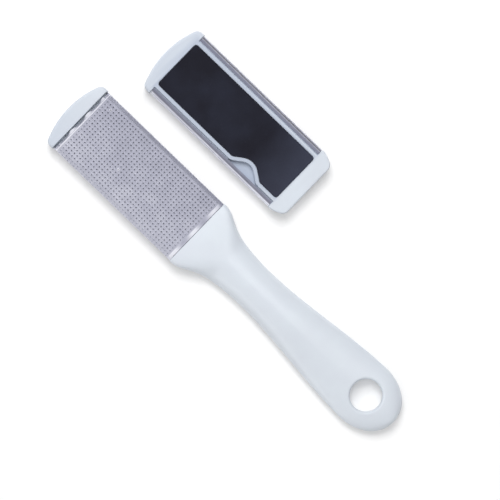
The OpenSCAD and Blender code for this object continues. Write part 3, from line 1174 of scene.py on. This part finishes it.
# The head's moulding: deep_colour is the painted shade of its hollows, rim and brims
head_plastic = plastic_material(
    "head_plastic", rough=0.5, grain=0.01, gloss=0.5,
    colour=linear(211, 218, 227), shade=linear(207, 213, 222), deep_colour=linear(178, 187, 203),
)
# The steel's dark and bright colours carry its painted shade and its painted highlights and reflections
rasp_steel = steel_material(
    "rasp_steel", dark_colour=linear(130, 132, 149), dull_colour=linear(184, 185, 201),
    bright_colour=linear(238, 239, 248),
)
emery_grit = emery_material("emery_grit")
film = film_material("adhesive_film")

# The pieces

head_frame = frame_mesh()
rasp_plate = plate_mesh()
emery_sheet = emery_mesh()
piece("handle_moulding", handle_mesh(), "handle", handle_plastic, "handle", "handle")
for head, body in (("fitted", "fitted_head"), ("spare", "spare_head")):
    piece(head + "_frame_moulding", head_frame, head, head_plastic, body,
          head + "_head_frame")
    piece(head + "_punched_sheet", rasp_plate, head, rasp_steel, body, head + "_rasp_plate",
          sharp=40)
    piece(head + "_grit_sheet", emery_sheet, head, emery_grit, body, head + "_emery_sheet")
    for material_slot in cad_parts[head + "_adhesive_film"].material_slots:
        material_slot.material = film

# The picture's right and up in the object's frame, and straight up from the table

picture_turn = math.radians(43.97)
image_right = Vector((math.cos(picture_turn), math.sin(picture_turn), 0))
image_up = Vector((-math.sin(picture_turn), math.cos(picture_turn), 0))
overhead = Vector((0, 0, 1))
loose_head_side = Vector((0, 1, 0))

# The floor, the sky and the lamps. Lengths are in metres and powers in watts from here on

floor_half_w = 3
floor_colour = (0.8, 0.8, 0.8, 1)
floor_glow = 0.22
sky_level = 0.425
sky_lean = 0.25 * (-0.94 * image_right - 0.35 * image_up) + 0.05 * overhead
lamp_distance = 1.2
white = (1, 1, 1, 1)


def seen(nodes, links, strength):
    """strength for rays from the camera, mirror rays and rays through glass, and 0 for the rest"""
    path = nodes.new("ShaderNodeLightPath")
    total = path.outputs["Is Camera Ray"]
    for ray in ("Is Glossy Ray", "Is Transmission Ray"):
        total = calculate(nodes, links, "MAXIMUM", total, path.outputs[ray])
    return map_range(nodes, links, total, 0, strength)


def floor():
    """A pale floor that takes the shadow and glows enough to look white to the camera"""
    bm = bmesh.new()
    bmesh.ops.create_grid(bm, x_segments=1, y_segments=1, size=floor_half_w)
    mesh = bpy.data.meshes.new("floor")
    bm.to_mesh(mesh)
    bm.free()
    obj = bpy.data.objects.new("floor", mesh)
    bpy.context.scene.collection.objects.link(obj)
    material = bpy.data.materials.new("floor")
    material.use_nodes = True
    nodes = material.node_tree.nodes
    links = material.node_tree.links
    nodes.clear()
    output = nodes.new("ShaderNodeOutputMaterial")
    diffuse = nodes.new("ShaderNodeBsdfDiffuse")
    diffuse.inputs["Color"].default_value = floor_colour
    glow = nodes.new("ShaderNodeEmission")
    both = nodes.new("ShaderNodeAddShader")
    links.new(seen(nodes, links, floor_glow), glow.inputs["Strength"])
    links.new(diffuse.outputs[0], both.inputs[0])
    links.new(glow.outputs[0], both.inputs[1])
    links.new(both.outputs[0], output.inputs["Surface"])
    mesh.materials.append(material)


def sky():
    """White for the camera, and a plain sky, brighter at the picture's left and a little at its foot"""
    world = bpy.data.worlds.new("sky")
    bpy.context.scene.world = world
    world.use_nodes = True
    nodes = world.node_tree.nodes
    links = world.node_tree.links
    nodes.clear()
    output = nodes.new("ShaderNodeOutputWorld")
    backdrop = nodes.new("ShaderNodeBackground")
    backdrop.inputs["Color"].default_value = white
    dome = nodes.new("ShaderNodeBackground")
    dome.inputs["Color"].default_value = white
    place = nodes.new("ShaderNodeTexCoord")
    lean = nodes.new("ShaderNodeVectorMath")
    lean.operation = "DOT_PRODUCT"
    lean.inputs[1].default_value = sky_lean
    links.new(place.outputs["Generated"], lean.inputs[0])
    strength = map_range(nodes, links, lean.outputs["Value"], sky_level - 1, sky_level + 1, start=-1)
    links.new(strength, dome.inputs["Strength"])
    path = nodes.new("ShaderNodeLightPath")
    choose = nodes.new("ShaderNodeMixShader")
    links.new(path.outputs["Is Camera Ray"], choose.inputs["Fac"])
    links.new(dome.outputs[0], choose.inputs[1])
    links.new(backdrop.outputs[0], choose.inputs[2])
    links.new(choose.outputs[0], output.inputs["Surface"])


def lamp(name, side, rise, size, power, mirrored):
    """A square lamp on one side of the object, rise degrees above the table, that looks at its middle"""
    data = bpy.data.lights.new(name, "AREA")
    data.size = size
    data.energy = power
    obj = bpy.data.objects.new(name, data)
    bpy.context.scene.collection.objects.link(obj)
    direction = side * math.cos(math.radians(rise)) + overhead * math.sin(math.radians(rise))
    obj.location = direction.normalized() * lamp_distance
    obj.rotation_euler = (-obj.location).to_track_quat("-Z", "Y").to_euler()
    obj.visible_glossy = mirrored


key_turn = math.radians(4)
key_side = image_up * math.cos(key_turn) - image_right * math.sin(key_turn)
floor()
sky()
lamp("key", key_side, rise=59, size=0.7, power=10, mirrored=False)
lamp("top", loose_head_side, rise=77, size=0.6, power=1.2, mirrored=True)
lamp("low", -loose_head_side, rise=30, size=0.3, power=0.5, mirrored=True)

# The camera looks straight down at the photograph's framing

view_w = 250 * MM
view_x = 1.54 * MM
view_y = -14.71 * MM
view_z = 9 * MM
camera_data = bpy.data.cameras.new("camera")
camera_data.lens = 230
camera_data.sensor_width = 36
camera_data.clip_end = 20
camera = bpy.data.objects.new("camera", camera_data)
bpy.context.scene.collection.objects.link(camera)
camera.location = (view_x, view_y, view_z + view_w * camera_data.lens / camera_data.sensor_width)
camera.rotation_euler = (0, 0, picture_turn)
bpy.context.scene.camera = camera
bpy.context.scene.view_settings.view_transform = "Standard"
